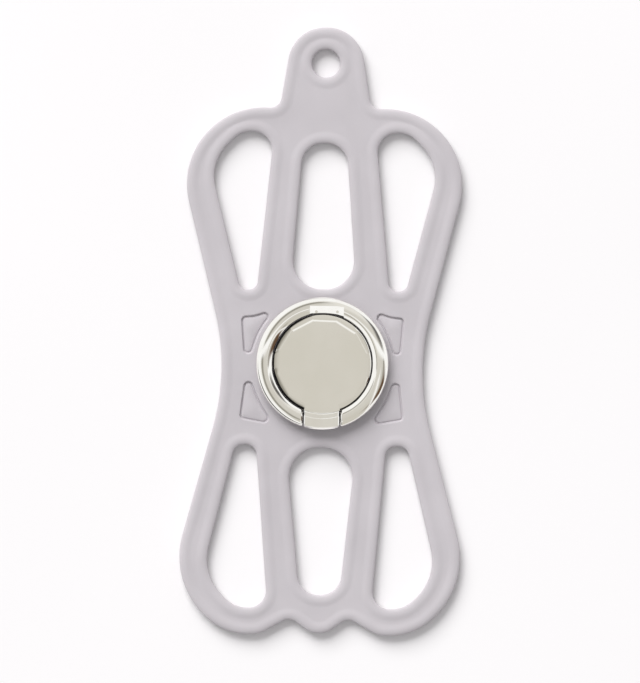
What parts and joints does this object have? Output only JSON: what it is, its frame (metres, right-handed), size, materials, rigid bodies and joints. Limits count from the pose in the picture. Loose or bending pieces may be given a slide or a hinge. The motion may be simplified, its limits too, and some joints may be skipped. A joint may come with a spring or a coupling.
{
  "type": "silicone phone holder with finger ring",
  "caption": "Flat stretch-on silicone phone holder with lobed loops, a lanyard tab and a swivelling metal finger ring that folds out as a stand.",
  "frame": {"origin": "centre of the soft pad's outer face, which lies against the phone, on the axis that the finger ring turns on", "axes": "+Z out of the back of the holder, along the turntable's axis; +Y along its length, towards the lanyard tab; +X across it"},
  "size_m": [0.0692, 0.1503, 0.0061],
  "materials": {
    "silicone": "matte, moulded",
    "soft_pad": "matte",
    "plate_steel": "satin",
    "rivet_steel": "satin",
    "spring_steel": "satin",
    "nylon": "matte",
    "plated_metal": "polished",
    "mirror_metal": "polished flat",
    "adhesive_film": "clear film"
  },
  "bodies": {
    "web": {"silicone_web": "silicone", "back_pad": "soft_pad", "back_plate": "plate_steel", "base_plate": "plate_steel", "clamp_rivet_1": "rivet_steel", "clamp_rivet_2": "rivet_steel", "clamp_rivet_3": "rivet_steel", "clamp_rivet_4": "rivet_steel", "thrust_washer": "nylon", "spring_washer": "spring_steel"},
    "turntable": {"turntable": "plated_metal", "pivot_rivet": "rivet_steel", "keeper_washer": "rivet_steel", "face_film": "adhesive_film", "face_plate": "mirror_metal", "friction_sleeve": "spring_steel"},
    "ring": {"finger_ring": "plated_metal", "hinge_pin": "rivet_steel", "hinge_washer_left": "nylon", "hinge_washer_right": "nylon"}
  },
  "joints": [
    {"name": "turntable_spin", "type": "hinge", "parent": "web", "child": "turntable", "pos_m": [0, 0, 0.0033], "axis": [0, 0, 1], "continuous": true},
    {"name": "ring_flip", "type": "hinge", "parent": "turntable", "child": "ring", "pos_m": [0, -0.0135, 0.0047], "axis": [1, 0, 0], "range_deg": [0, 180]}
  ]
}
